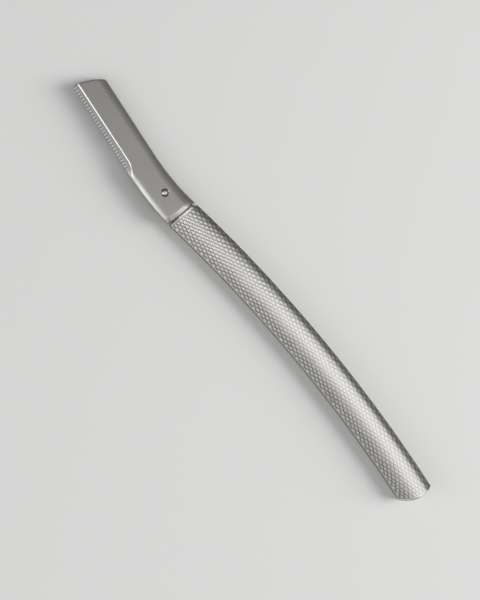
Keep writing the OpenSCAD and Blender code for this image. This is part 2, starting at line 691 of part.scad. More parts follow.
// Thin blade with a ground edge, a slanted end and two holes for the pegs
module blade() {
    mid = blade_t / 2;
    back_tip = nib_at.x - (nib_at.y - blade_back) * tan(tip_slant);
    color(bright) centred() in_head() difference() {
        intersection() {
            translate([blade_x, 0, plate_top])
                rotate([quarter, 0, quarter])
                    linear_extrude(blade_len + nib_reach + overrun)
                        polygon([[blade_back, 0], [blade_edge - grind_w, 0],
                                 [blade_edge, mid - edge_flat / 2],
                                 [blade_edge, mid + edge_flat / 2],
                                 [blade_edge - grind_w, blade_t], [blade_back, blade_t]]);
            translate([0, 0, plate_top - overrun])
                linear_extrude(blade_t + 2 * overrun)
                    polygon([[0, blade_back - overrun], [back_tip, blade_back - overrun],
                             [back_tip, blade_back], nib_at, [blade_tip, blade_edge],
                             [blade_tip, blade_edge + overrun], [0, blade_edge + overrun]]);
        }
        for (x = peg_x)
            translate([x, peg_y, plate_top - overrun])
                cylinder(r = peg_r + pin_fit, h = blade_t + 2 * overrun, $fn = smooth_fn);
    }
}

// Guard folded over the cutting edge: a comb above and below, joined at the tips of its teeth
module skin_guard() {
    root = blade_side + swing_gap;
    tip = blade_edge + guard_reach;
    gap_y = tip - tooth_len;
    teeth_x = blade_x + guard_heel_len;
    teeth = floor((blade_tip - teeth_x) / guard_pitch);
    pitch = (blade_tip - teeth_x) / teeth;
    heel = [for (i = [0 : heel_steps])
        let (x = mix(heel_reach, blade_x, i / heel_steps)) [x, cover_edge(x) + swing_gap]];
    comb = [for (i = [0 : teeth - 1])
        let (x = teeth_x + (i + 1 / 2) * pitch)
        each [[x - pitch * tooth_root_share / 2, gap_y], [x - pitch * tooth_tip_share / 2, tip],
              [x + pitch * tooth_tip_share / 2, tip], [x + pitch * tooth_root_share / 2, gap_y]]];
    color(bright) centred() in_head() difference() {
        translate([0, 0, plate_top - guard_t])
            linear_extrude(blade_t + 2 * guard_t)
                polygon(concat(heel, [[blade_x, tip], [teeth_x, tip], [teeth_x, gap_y]], comb,
                               [[blade_tip, gap_y], [blade_tip, root]]));
        translate([blade_x - overrun, root - overrun, plate_top])
            cube([blade_len + 2 * overrun, blade_edge + pin_fit - root + overrun, blade_t]);
    }
}

handle_shell();
handle_back();
stiffening_bar();
handle_pins();
neck_pin();
head_cover();
pivot_rivet();
rivet_washer();
spring_washer();
clamp_plate();
blade_pegs();
blade();
skin_guard();
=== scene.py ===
"""Eyebrow razor: knurled satin handle, clamp head with guarded blade, studio light."""
import json
import math

import bmesh
import bpy
from mathutils import Matrix, Vector


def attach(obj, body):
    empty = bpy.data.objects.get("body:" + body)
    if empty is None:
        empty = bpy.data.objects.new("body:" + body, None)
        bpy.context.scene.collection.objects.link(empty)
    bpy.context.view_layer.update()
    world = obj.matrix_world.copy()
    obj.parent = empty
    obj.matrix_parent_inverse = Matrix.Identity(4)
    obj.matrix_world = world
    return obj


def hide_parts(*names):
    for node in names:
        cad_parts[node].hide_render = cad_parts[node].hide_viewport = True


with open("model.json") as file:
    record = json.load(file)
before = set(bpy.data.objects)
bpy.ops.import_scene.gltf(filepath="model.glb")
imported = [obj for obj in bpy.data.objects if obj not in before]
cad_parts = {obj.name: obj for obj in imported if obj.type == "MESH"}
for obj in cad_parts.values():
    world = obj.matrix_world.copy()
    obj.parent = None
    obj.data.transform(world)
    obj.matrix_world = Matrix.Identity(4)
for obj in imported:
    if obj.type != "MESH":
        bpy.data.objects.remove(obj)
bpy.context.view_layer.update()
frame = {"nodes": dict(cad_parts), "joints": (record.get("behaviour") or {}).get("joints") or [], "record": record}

# Sizes follow the CAD model and are in millimetres. Those of the floor and the lamps are in metres.
# +X runs from the tail to the tip, +Y is the blade's side, +Z is up.
MM = 0.001
hinge = frame["joints"][0]
RIVET = Vector(hinge["pos_m"]) / MM
SWING_A = math.radians(hinge["range_deg"][1])
BOW_LOW = Vector(frame["record"]["mounts"][0]["pos_m"]) / MM

# Handle: radius of the bow in plan, and lengths from its lowest point to the front rim and to the tail
BOW_R = 460
FRONT_LEN = 68.9
TAIL_LEN = 41.75
# Widest width, and width at the front rim
HANDLE_W = 10.45
RIM_W = 10.35
# Height of the crest, and its place as a share of the width counted from the blade's side
CREST_H = 5.9
CREST_SHARE = 0.66
# Height at which the flank starts on the blade's side, and the steep bevel under that start
EDGE_H = 3.1
EDGE_BEVEL_W = 0.35
EDGE_BEVEL_H = 0.8
# Slope of the handle and the head where they meet their side walls along the spine
SPINE_SLOPE = math.radians(48)
# Chamfers along the two lower edges and round the front rim
FOOT_CHAMFER = 0.4
RIM_CHAMFER = 0.45
# How far the rim's chamfer is rounded, from 0 for a flat one to 1 for a quarter circle
RIM_BULGE = 0.3
# Width and setback of the rim's rounded corner at the spine
CORNER_W = 1.8
CORNER_DEPTH = 0.8
# Round tail: radius in plan, sideways offset towards the spine, and radius of its upper edge
TAIL_R = 9
TAIL_SHIFT = 1.2
TAIL_EDGE = 0.18
# Lengths over which the rows bend to the rim's corner, the mitred junction and the round tail
CORNER_RUN = 4
MITRE_RUN = 20
TAIL_RUN = 15
# Direction in which the junction faces
MITRE_A = math.radians(3.1)

# Hollow of the handle: the back plate and the bar that it holds, with the clearance round them
BACK_W = 6.8
BACK_T = 0.8
BAR_W = 4.2
BAR_H = 2.3
SEAT_FIT = 0.05
# Rows of the knurl at which the recess for the plate and the channel for the bar start
BACK_ROW = 3
BAR_ROW = 6

# Knurl: grooves run aslant through every second crossing of its rows and columns
ROWS = 88
FLANK_COLS = 12
SPINE_COLS = 6
KNURL_DEPTH = 0.15
GROOVE_STEEPNESS = 1.15
# Height of the lowest diamond, as a share of the highest
LOW_DIAMOND = 0.75
# Columns or rows over which the grooves fade out at the handle's edges
BORDER_COLS = 0.6
# Factors that give each diamond its own height, the same in every run
SCATTER = (12.9898, 78.233, 43758.5453)
# The crest and the spine's side are worn: the column where that begins, and the columns that it takes
WEAR_FROM = 3
WEAR_COLS = 5
# Share of the wear that is left at the neck
NECK_WEAR = 0.3
# Shares of the knurl's depth and of the grime and painted shade in it that are left where it is worn
WORN_DEPTH = 0.42
WORN_GRIME_AND_SHADE = 0.75
# How much narrower the grooves are there
WORN_NARROW = 1.7

# Painted shade, from 0 to 1 as at the bottom of a groove. The handle's lower edge on the blade's side, a dark line
# that stands for the shadowed floor mirrored in its bevel
EDGE_SHADE = 1
# Painted shade on the spine's side: darkness, columns from its foot, columns over which it grows, and even columns
SPINE_SHADE = 1
SPINE_SHADE_COLS = 5.4
SPINE_SHADE_RUN = 3.5
SPINE_EVEN_COLS = 1.2
# Share of that painted shade on top of a diamond
SPINE_TOPS = 0.58
# Painted shade along the tail's end: width of the dark line, its reach in columns and the columns over which it
# fades
TAIL_SHADE_W = 0.3
TAIL_SHADE_COLS = 12
TAIL_SHADE_FADE = 3
# Painted shade on the cover's rounded outer edge on the blade's side
COVER_SHADE = 0.85
# Painted shade in the rivet's groove: outer radius, share of the head's radius where it begins, darkness between
# the arcs
RIVET_SHADE_R = 1.2
RIVET_SHADE_IN = 0.93
RIVET_SHADE_REST = 0.3
# Arcs of darker painted shade there, by the angle of the middle and half the width, and their fade, in degrees
SHADE_ARCS = (-53, 78), (142, 45)
SHADE_ARC_FADE = 15

# Head, in its own frame with the rivet at the origin and x along the blade: distance from the front rim to
# the rivet, and tilt against +X
NECK_REACH = 8.04
HEAD_A = math.radians(5.5)
# Hairline gap between the handle and the neck, and how it opens at its corner on the blade's side
JUNCTION_GAP = 0.12
CORNER_GAP = 0.6
CORNER_GAP_W = 2.6
# Distances from the rivet to the tip and to where the cover flares out behind the blade, and the flare
TIP_REACH = 41.6
HEEL_REACH = 13.2
FLARE_LEN = 4.6
# Offsets of the cover's edge along the blade, of the neck's widest point and of the spine
BLADE_SIDE = 4.3
NECK_SIDE = 6.05
SPINE_SIDE = 3.5
# Amount by which the spine draws in towards the tip, and distance from the rivet to where it bends
TIP_NARROWING = 0.2
SPINE_BEND = 13
# Step by which the neck's end is narrower than the rim on each side
NECK_STEP = 0.05
# Heights of the top at the junction and at the tip, and of the neck's underside
NECK_TOP = 5.55
TIP_TOP = 4.2
NECK_FLOOR = 0.4
# Slant and bulge of the tip's end, rounding of its corner at the spine and drop of its top
TIP_SLANT = math.radians(22)
TIP_BULGE = 0.2
TIP_CORNER = 0.8
TIP_ROUND = 0.3
# The cover grows a little wider on the blade's side from here to the tip
WIDER_FROM = 18
WIDER_BY = 0.3
# Bright chamfer along the cover's edge
COVER_CHAMFER = 0.35
CHAMFER_SLOPE = math.radians(36)
# Rounded shoulder on the neck's blade side, and the share of the neck over which it grows
SHOULDER_W = 2.7
SHOULDER_SLOPE = math.radians(35)
SHOULDER_SHARE = 0.55
# Radius of the cover's outer edge on the blade's side, along the thin chamfer and at the shoulder
CHAMFER_EDGE_R = 0.04
SHOULDER_EDGE_R = 0.32
# Distance from the flare's neck end, towards the tip, at which that radius begins to grow
EDGE_LEAD = 1
# Width of the rounding along the spine, and at the neck's end
SPINE_ROUND = 2.5
NECK_ROUND = 3.2
# Rounded bevel across the neck's end: width, slope at the junction and width of its fade to the spine
NECK_END_W = 1.2
NECK_END_SLOPE = math.radians(26)
NECK_END_FADE = 6.5
# Flange that closes the head along the spine: thickness, and the thumb's notch in it
FLANGE_T = 0.65
NOTCH_R = 7
NOTCH_REACH = 30
# Height of the cover's underside, 0.08 above the CAD model's, to clear the guard where the cover is wider
COVER_UNDER = 2.48
# Half the distance between the points that give the outline's direction
PROBE = 0.05

# Painted highlight on ground faces, partly the real brightness of their grinding: 1 along the chamfer, and these
# shares at the shoulder and the neck's end
SHOULDER_HIGHLIGHT = 0.15
END_HIGHLIGHT = 0.7
# The neck end's painted highlight begins at these places across the head, over these runs: from the blade's side,
# where the run goes down, and from the spine's
END_HIGHLIGHT_BLADE = (1.6, -2.6)
END_HIGHLIGHT_SPINE = (-5, 2)
# Length of the neck's end in which its bevel is looked for
END_ZONE = 3
# Upward part of a face's normal on the cover's outer edge, its bevel, its neck end and the recess's rim
EDGE_RISE = (0.05, 0.78)
BEVEL_RISE = (0.78, 0.93)
END_RISE = 0.8
RIM_RISE = (0.7, 0.95)
# Least part of that normal towards the blade's side, on the edge and the bevel, and backwards at the end
EDGE_LEAN = 0.3
BEVEL_LEAN = 0.35
END_LEAN = 0.1

# Clamp's room under the cover: the plate's round end, and the setback of its side from the cover's edge
PLATE_END_R = 3.3
PLATE_SETBACK = 0.2
# Clearance between the clamp and the cover, and extra angle left behind the open plate
SWING_GAP = 0.1
SWING_MARGIN = math.radians(4)
# Cuts run this far out of the solid
OVERRUN = 1

# Rivet: radius of its shank, its head with the low dome, and the height and size of its formed tail
RIVET_R = 0.75
RIVET_HEAD_R = 1.0
RIVET_HEAD_T = 0.5
RIVET_DOME_H = 0.45
RIVET_BASE = 0.25
RIVET_TAIL_R = 1.3
RIVET_TAIL_T = 0.22
RIVET_TAIL_CHAMFER = 0.1
# Clearance round fixed pins and the rivet
PIN_FIT = 0.02
# Recess round the rivet's head, which widens from its floor to its wall and to a polished rim
RECESS_DEPTH = 0.4
RECESS_FLOOR_R = 1.14
RECESS_R = 1.22
RECESS_WALL_H = 0.3
RECESS_RIM_R = 1.42
RECESS_RIM_H = 0.42

# Bar's tongue in the neck: depth of its socket, and step by which it is slimmer than the bar on each side
SOCKET_LEN = 3.67
TONGUE_STEP = 0.2
# Neck's pin: radius, distance from the junction and depth that it enters the neck above the bar
NECK_PIN_R = 0.7
NECK_PIN_INSET = 1.9
NECK_PIN_BITE = 0.8

# Steps in a row or column of the knurl, and columns to either side that give the top's direction
STEPS = 6
COL_PROBE = 0.1
# Steps round the edges at the handle's ends, and over the rivet's dome
RIM_STEPS = 3
DOME_STEPS = 12
# Steps along the cover and round its two ends, and over its outer edge, bevel, flat top and spine
LENGTH_STEPS = 130
END_STEPS = 8
EDGE_STEPS = 6
BEVEL_STEPS = 10
FLAT_STEPS = 8
SPINE_STEPS = 14
# Segments of full circles: the plate's room and the notch, the rivet and its seat, and the pin's bore
ROOM_SEGMENTS = 96
RIVET_SEGMENTS = 64
BORE_SEGMENTS = 48
# Points closer than this are joined, in metres, and edges sharper than these angles stay sharp, in degrees
WELD = 1e-7
SHARP = 35
HANDLE_SHARP = 40
COVER_SHARP = 28


def limit01(v):
    return min(max(v, 0.0), 1.0)


def ease(v):
    u = limit01(v)
    return u * u * (3 - 2 * u)


def mix(a, b, v):
    return a + (b - a) * v


def within(v, ends):
    return ends[0] < v < ends[1]


def turned(x, y, a):
    return x * math.cos(a) - y * math.sin(a), x * math.sin(a) + y * math.cos(a)


def placed(x, y, a):
    """Placement of a frame by its origin in millimetres and its turn round the upright."""
    return Matrix.Translation((x * MM, y * MM, 0)) @ Matrix.Rotation(a, 4, "Z")


def make_object(name, verts, faces):
    mesh = bpy.data.meshes.new(name)
    mesh.from_pydata([Vector(v) * MM for v in verts], [], faces)
    mesh.validate()
    ob = bpy.data.objects.new(name, mesh)
    bpy.context.scene.collection.objects.link(ob)
    return ob


def finish_mesh(ob, sharp_deg=SHARP):
    """Welds, turns all faces outwards and shades smooth up to an angle."""
    bm = bmesh.new()
    bm.from_mesh(ob.data)
    bmesh.ops.remove_doubles(bm, verts=bm.verts, dist=WELD)
    bmesh.ops.recalc_face_normals(bm, faces=bm.faces)
    limit = math.radians(sharp_deg)
    for face in bm.faces:
        face.smooth = True
    for edge in bm.edges:
        edge.smooth = len(edge.link_faces) == 2 and edge.calc_face_angle(0) < limit
    bm.to_mesh(ob.data)
    bm.free()
    return ob


def store(ob, name, values, domain="FACE"):
    """Keeps a number for each face or point of the mesh, for its material to read."""
    mark = ob.data.attributes.new(name, "FLOAT", domain)
    mark.data.foreach_set("value", [float(v) for v in values])


# Handle
ROW_STEP = (FRONT_LEN + TAIL_LEN - RIM_CHAMFER) / ROWS
TOP_COLS = FLANK_COLS + SPINE_COLS
TOP_STEPS = TOP_COLS * STEPS
SKEW = math.tan(FRONT_LEN / BOW_R - MITRE_A)
RECESS_SIDE = BACK_W / 2 + SEAT_FIT
CHANNEL_SIDE = BAR_W / 2 + SEAT_FIT
BAR_Z = BACK_T + SEAT_FIT
BAR_TOP = BAR_Z + BAR_H
CHANNEL_TOP = BAR_TOP + SEAT_FIT
HOLLOW = [(-RECESS_SIDE, 0), (-RECESS_SIDE, BACK_T), (-CHANNEL_SIDE, BACK_T), (-CHANNEL_SIDE, CHANNEL_TOP),
          (CHANNEL_SIDE, CHANNEL_TOP), (CHANNEL_SIDE, BACK_T), (RECESS_SIDE, BACK_T), (RECESS_SIDE, 0)]

# Numbers of the points in a ring round the handle: B on the blade's side, S on the spine's
FOOT_B, WALL_B, EDGE_B, TOP_FIRST = range(4)
CREST = TOP_FIRST + FLANK_COLS * STEPS
TOP_LAST = TOP_FIRST + TOP_STEPS
WALL_S = TOP_LAST + 1
FOOT_S = TOP_LAST + 2
HOLLOW_FIRST = TOP_LAST + 3
RING = HOLLOW_FIRST + len(HOLLOW)
RECESS_S, STEP_S, LIP_S, ROOF_S, ROOF_B, LIP_B, STEP_B, RECESS_B = range(HOLLOW_FIRST, RING)


def bow_point(t, y):
    """Point at a length t along the bow and a sideways offset y towards the blade's side."""
    a = t / BOW_R
    return BOW_LOW.x + (BOW_R - y) * math.sin(a), BOW_LOW.y + BOW_R - (BOW_R - y) * math.cos(a)


def tail_fall(y):
    """How far the round tail draws in at a sideways offset."""
    return TAIL_R - math.sqrt(TAIL_R ** 2 - (y + TAIL_SHIFT) ** 2)


def corner_fall(y):
    """How far the rim's corner at the spine is set back."""
    return CORNER_DEPTH * limit01((CORNER_W - RIM_W / 2 - y) / CORNER_W) ** 2


def on_bow(t, y, z, run):
    """Point of the handle, its row bent to the mitre, the rim's corner and, over a run, the round tail."""
    bent = t + y * SKEW * ease((t - FRONT_LEN + MITRE_RUN) / MITRE_RUN)
    bent -= corner_fall(y) * ease((t - FRONT_LEN + CORNER_RUN) / CORNER_RUN)
    bent += tail_fall(y) * ease(1 - (t + TAIL_LEN) / run)
    return (*bow_point(bent, y), z)


def handle_width(t):
    return HANDLE_W - (HANDLE_W - RIM_W) * (t / FRONT_LEN) ** 2


def top_point(col, w):
    """Sideways place and height on the handle's top: the flank rises, then an arc falls along the spine."""
    if col <= FLANK_COLS:
        v = col / FLANK_COLS
        rise = math.sin(v * math.pi / 2)
        return w / 2 - mix(EDGE_BEVEL_W, CREST_SHARE * w, v), mix(EDGE_H, CREST_H, rise)
    a = SPINE_SLOPE * (col - FLANK_COLS) / SPINE_COLS
    spine_w = (1 - CREST_SHARE) * w
    r = spine_w / math.sin(SPINE_SLOPE)
    return spine_w - w / 2 - r * math.sin(a), CREST_H - r * (1 - math.cos(a))


def wear(row, col):
    """How worn a point is, from 0 on the blade's side to 1 on the crest and beyond, less at the neck."""
    return ease((col - WEAR_FROM) / WEAR_COLS) * mix(1, NECK_WEAR, ease(2 * row / ROWS - 1))


def pillow(row, col):
    """Height of the knurl, 0 in a groove and 1 on top of a diamond."""
    u, v = (row - col) / 2, (row + col) / 2
    narrow = mix(1, WORN_NARROW, wear(row, col))
    du, dv = 2 * narrow * abs(u - round(u)), 2 * narrow * abs(v - round(v))
    a, b, c = SCATTER
    uneven = math.sin(a * math.floor(u) + b * math.floor(v)) * c % 1
    return min(1, GROOVE_STEEPNESS * du, GROOVE_STEEPNESS * dv) * mix(1, LOW_DIAMOND, uneven)


def groove(row, col):
    """How far a point lies in a groove, fading out at the handle's edges."""
    border = min(row, ROWS - row, col, TOP_COLS - col)
    return (1 - pillow(row, col)) * ease(border / BORDER_COLS)


def knurl(row, col):
    """Depth of the knurl below the plain top."""
    return KNURL_DEPTH * mix(1, WORN_DEPTH, wear(row, col)) * groove(row, col)


def grime_and_painted_shade(row, col):
    """Darkness of a point: grime and painted shade in the grooves, less on the crest, and painted shade growing
    again down the spine's side.
    """
    crest = mix(1, WORN_GRIME_AND_SHADE, wear(row, col))
    low = SPINE_SHADE * ease((col - TOP_COLS + SPINE_SHADE_COLS) / SPINE_SHADE_RUN)
    tops = pillow(row, col) * ease((TOP_COLS - col) / SPINE_EVEN_COLS)
    return max(groove(row, col) * crest, low * mix(1, SPINE_TOPS, tops))


def painted_tail_shade(t, col):
    """Painted shade on the tail's narrow rounded edge, on the blade's half."""
    near = t + TAIL_LEN < TAIL_SHADE_W
    return near * EDGE_SHADE * ease((TAIL_SHADE_COLS - col) / TAIL_SHADE_FADE)


def knurled_point(row, col, w):
    """Point of the handle's top, sunk square to it by the knurl."""
    y, z = top_point(col, w)
    y0, z0 = top_point(max(col - COL_PROBE, 0), w)
    y1, z1 = top_point(min(col + COL_PROBE, TOP_COLS), w)
    d = knurl(row, col) / math.hypot(y1 - y0, z1 - z0)
    return y + (z1 - z0) * d, z + (y1 - y0) * d


def outer_ring(row, w, inset):
    """Outline of the handle's section from the blade's foot over the top to the spine's foot."""
    pts = [(w / 2 - FOOT_CHAMFER, 0), (w / 2, FOOT_CHAMFER), (w / 2, EDGE_H - EDGE_BEVEL_H - inset)]
    for i in range(TOP_STEPS + 1):
        y, z = knurled_point(row, i / STEPS, w)
        pts.append((y, z - inset))
    return pts + [(-w / 2, FOOT_CHAMFER), (FOOT_CHAMFER - w / 2, 0)]


def stations():
    """Rings along the handle, each by its length along the bow, its row and its inset at the ends."""
    rings = []
    for k in range(RIM_STEPS + 1):
        a = k / RIM_STEPS * math.pi / 2
        rings.append((-TAIL_LEN + TAIL_EDGE * (1 - math.cos(a)), 0, TAIL_EDGE * (1 - math.sin(a))))
    rings += [(i / STEPS * ROW_STEP - TAIL_LEN, i / STEPS, 0) for i in range(1, ROWS * STEPS + 1)]
    for k in range(1, RIM_STEPS + 1):
        v = k / RIM_STEPS
        out = mix(v, math.sin(v * math.pi / 2), RIM_BULGE)
        drop = mix(v, 1 - math.cos(v * math.pi / 2), RIM_BULGE)
        rings.append((FRONT_LEN - RIM_CHAMFER * (1 - out), ROWS, RIM_CHAMFER * drop))
    return rings


def ring_grime_and_shade(t, row):
    """Darkness of each point in a ring: painted shade on the lower edge on the blade's side, and grime and painted
    shade on the top.
    """
    top = [max(grime_and_painted_shade(row, i / STEPS), painted_tail_shade(t, i / STEPS)) for i in range(1, TOP_STEPS + 1)]
    return [0, 0, EDGE_SHADE, EDGE_SHADE] + top + [0] * (RING - TOP_LAST - 1)


def strip(first, last, p, q):
    """Faces between the points p and q of the rings from first to last."""
    corners = [(i * RING + p, i * RING + q) for i in range(first, last + 1)]
    return [(a, b, d, c) for (a, b), (c, d) in zip(corners, corners[1:])]


def ring_face(ring, points):
    return tuple(ring * RING + k for k in points)


def handle_faces(front):
    """Faces along the handle, the rear ends of its hollow and the flat front at the last ring."""
    back = RIM_STEPS + BACK_ROW * STEPS
    bar = RIM_STEPS + BAR_ROW * STEPS
    faces = []
    for k in range(FOOT_S):
        faces += strip(0, front, k, k + 1)
    for k in (RECESS_S, STEP_S, LIP_B, STEP_B):
        faces += strip(back, front, k, k + 1)
    for k in (LIP_S, ROOF_S, ROOF_B):
        faces += strip(bar, front, k, k + 1)
    faces += strip(0, front, FOOT_S, RECESS_S)
    faces += strip(0, front, RECESS_B, FOOT_B)
    faces += strip(0, back, RECESS_S, RECESS_B)
    faces += strip(back, bar, LIP_S, LIP_B)
    faces.append(ring_face(back, (RECESS_S, STEP_S, LIP_S, LIP_B, STEP_B, RECESS_B)))
    faces.append(ring_face(bar, (LIP_S, ROOF_S, ROOF_B, LIP_B)))
    faces.append(ring_face(front, (STEP_B, LIP_B, ROOF_B, EDGE_B, WALL_B, FOOT_B, RECESS_B)))
    faces.append(ring_face(front, (ROOF_B, *range(CREST, EDGE_B - 1, -1))))
    faces.append(ring_face(front, (ROOF_S, CREST, ROOF_B)))
    faces.append(ring_face(front, (ROOF_S, *range(TOP_LAST, CREST - 1, -1))))
    faces.append(ring_face(front, (STEP_S, RECESS_S, FOOT_S, WALL_S, TOP_LAST, ROOF_S, LIP_S)))
    return faces


def tail_wall(verts):
    """Faces of the round tail's upright wall, down to new points straight below its upper edge."""
    w = handle_width(-TAIL_LEN) - 2 * TAIL_EDGE
    below = []
    for i in range(TOP_STEPS + 1):
        y = top_point(i / STEPS, w)[0]
        if y >= w / 2 - FOOT_CHAMFER:
            below.append(FOOT_B)
        elif y <= FOOT_CHAMFER - w / 2:
            below.append(FOOT_S)
        else:
            below.append(len(verts))
            verts.append(on_bow(-TAIL_LEN, y, 0, TAIL_RUN))
    quads = [(TOP_FIRST + i, TOP_FIRST + i + 1, below[i + 1], below[i]) for i in range(TOP_STEPS)]
    faces = [tuple(dict.fromkeys(quad)) for quad in quads]
    faces.append((FOOT_B, WALL_B, EDGE_B, TOP_FIRST))
    faces.append((TOP_LAST, WALL_S, FOOT_S))
    faces.append((*dict.fromkeys(below), RECESS_S, RECESS_B))
    return faces


def handle_mesh():
    rings = stations()
    verts, grime_and_shade = [], []
    for t, row, inset in rings:
        w = handle_width(t) - 2 * inset
        verts += [on_bow(t, y, z, TAIL_RUN) for y, z in outer_ring(row, w, inset)]
        verts += [on_bow(t, y, z, BACK_ROW * ROW_STEP) for y, z in HOLLOW]
        grime_and_shade += ring_grime_and_shade(t, row)
    faces = handle_faces(len(rings) - 1)
    faces += tail_wall(verts)
    ob = make_object("handle_skin", verts, faces)
    # Grime and painted shade for the knurled steel to read
    store(ob, "groove", grime_and_shade + [0] * (len(verts) - len(grime_and_shade)), "POINT")
    return ob


handle_skin = finish_mesh(handle_mesh(), HANDLE_SHARP)
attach(handle_skin, "handle")
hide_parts("handle_shell")

# Head cover
HEAD_PLACE = placed(RIVET.x, RIVET.y, -HEAD_A)
RIM_DX, RIM_DY = turned(-NECK_REACH, 0, HEAD_A)
HEAD_MITRE = MITRE_A + HEAD_A
NECK_X = RIM_DX + RIM_DY * math.tan(HEAD_MITRE) + JUNCTION_GAP / math.cos(HEAD_MITRE)
NECK_END_SIDE = RIM_DY + RIM_W / 2 - NECK_STEP
NECK_END_SPINE = RIM_W / 2 - NECK_STEP - RIM_DY
FLARE_X = HEEL_REACH - FLARE_LEN
FLANGE_IN = SPINE_SIDE - TIP_NARROWING - FLANGE_T
ROOM_R = PLATE_END_R + 2 * SWING_GAP
STOP_A = SWING_A + SWING_MARGIN + math.atan((BLADE_SIDE - PLATE_SETBACK - PLATE_END_R) / HEEL_REACH)


def cover_edge(x):
    """Offset of the cover's edge on the blade's side."""
    side = mix(BLADE_SIDE, NECK_SIDE, ease((HEEL_REACH - x) / FLARE_LEN))
    side += WIDER_BY * max(0, x - WIDER_FROM) / (TIP_REACH - WIDER_FROM)
    return side - (NECK_SIDE - NECK_END_SIDE) * (max(0, FLARE_X - x) / (FLARE_X - NECK_X)) ** 2


def cover_top(x):
    return mix(NECK_TOP, TIP_TOP, (x - NECK_X) / (TIP_REACH - NECK_X))


def neck_share(x):
    """How far a place along the head counts to the neck, where the spine bends."""
    return limit01((SPINE_BEND - x) / (SPINE_BEND - NECK_X))


def cover_spine(x):
    """Offset of the cover's edge along the spine."""
    drawn_in = TIP_NARROWING * limit01((x - SPINE_BEND) / (TIP_REACH - SPINE_BEND))
    return drawn_in - mix(SPINE_SIDE, NECK_END_SPINE, neck_share(x) ** 2)


def lean_share(x):
    """Share of a bevel's drop that keeps its slope where the outline turns away from the head's axis."""
    return 2 * PROBE / math.hypot(2 * PROBE, cover_edge(x + PROBE) - cover_edge(x - PROBE))


def corner_share(x, y):
    """How far a point counts to the neck's corner on the blade's side, where its end stays sharp."""
    return limit01((y - NECK_END_SIDE + CORNER_GAP_W) / CORNER_GAP_W) * ease(x / NECK_X)


def spine_share(x, y):
    """The same for its corner on the spine's side."""
    return limit01((NECK_END_FADE - NECK_END_SPINE - y) / NECK_END_FADE) * ease(x / NECK_X)


def leaned(x, y):
    """Place along the head of a point whose section leans with the mitre or with the slanted tip."""
    v = (BLADE_SIDE - y) / (BLADE_SIDE + SPINE_SIDE)
    into_tip = ease((x - NOTCH_REACH) / (TIP_REACH - NOTCH_REACH))
    x += CORNER_GAP * corner_share(x, y) - y * math.tan(HEAD_MITRE) * ease(x / NECK_X)
    return x + into_tip * (TIP_BULGE * 4 * v * (1 - v) - (BLADE_SIDE - y) * math.tan(TIP_SLANT))


def bevel_drop(v, w, a0, a1):
    """Drop of a bevel at a share v of its width, its slope growing from a0 to a1."""
    return w * v * mix(math.tan(a0), math.tan(a1), v / 2)


def bevel_points(x):
    """Rounded outer edge and then the bevel, chamfer or shoulder, of the cover on the blade's side."""
    edge = cover_edge(x)
    share = ease((HEEL_REACH - x) / ((HEEL_REACH - NECK_X) * SHOULDER_SHARE))
    w = mix(COVER_CHAMFER, SHOULDER_W, share)
    a0 = mix(CHAMFER_SLOPE, 0, share)
    a1 = mix(CHAMFER_SLOPE, SHOULDER_SLOPE, share)
    r = mix(CHAMFER_EDGE_R, SHOULDER_EDGE_R, ease((FLARE_X + EDGE_LEAD - x) / FLARE_LEN))
    turn = math.pi / 2 - a1
    start = 1 - r * (1 - math.cos(turn)) / w

    def height(v):
        return cover_top(x) - bevel_drop(v, w, a0, a1) * lean_share(x)

    pts = []
    for i in range(EDGE_STEPS):
        a = turn * i / EDGE_STEPS
        pts.append((edge - r * (1 - math.cos(a)), height(start) - r * (math.sin(turn) - math.sin(a))))
    for i in range(BEVEL_STEPS + 1):
        v = start * (1 - i / BEVEL_STEPS)
        pts.append((edge - w * (1 - v), height(v)))
    return pts


def cover_ring(x, spine_in, drop):
    """Section of the cover at x, its spine drawn in and its top lowered where its ends are rounded."""
    top = cover_top(x)
    spine = cover_spine(x) + spine_in
    round_w = mix(SPINE_ROUND, NECK_ROUND, neck_share(x))
    r = round_w / math.sin(SPINE_SLOPE)
    pts = bevel_points(x)
    y0 = pts[-1][0]
    y1 = spine + round_w
    pts += [(y0 + (y1 - y0) * i / FLAT_STEPS, top) for i in range(1, FLAT_STEPS)]
    for i in range(SPINE_STEPS + 1):
        a = SPINE_SLOPE * i / SPINE_STEPS
        pts.append((y1 - r * math.sin(a), top - r * (1 - math.cos(a))))
    pts = [(y, z - drop * (1 - max(corner_share(x, y), spine_share(x, y)))) for y, z in pts]
    pts = [(cover_edge(x), NECK_FLOOR)] + pts + [(spine, NECK_FLOOR)]
    return [(leaned(x, y), y, z) for y, z in pts]


def cover_rings():
    """Sections of the cover from the bevel at the junction to the rounded tip."""
    rings = []
    for i in range(END_STEPS + 1):
        v = 1 - i / END_STEPS
        drop = bevel_drop(v, NECK_END_W, NECK_END_SLOPE / 2, NECK_END_SLOPE)
        rings.append(cover_ring(NECK_X + NECK_END_W * (1 - v), 0, drop))
    start = NECK_X + NECK_END_W
    span = TIP_REACH - TIP_CORNER - start
    rings += [cover_ring(start + span * i / LENGTH_STEPS, 0, 0) for i in range(1, LENGTH_STEPS)]
    for i in range(END_STEPS, -1, -1):
        a = i / END_STEPS * math.pi / 2
        fall = 1 - math.sin(a)
        x = TIP_REACH - TIP_CORNER * (1 - math.cos(a))
        rings.append(cover_ring(x, TIP_CORNER * fall, TIP_ROUND * fall ** 2))
    return rings


def loft(name, rings):
    """Joins rings of equal length into one closed solid."""
    n = len(rings[0])
    last = len(rings) - 1
    verts = [p for ring in rings for p in ring]
    faces = [(i * n + k, i * n + (k + 1) % n, (i + 1) * n + (k + 1) % n, (i + 1) * n + k)
             for i in range(last) for k in range(n)]
    faces.append(tuple(range(n - 1, -1, -1)))
    faces.append(tuple(last * n + k for k in range(n)))
    return make_object(name, verts, faces)


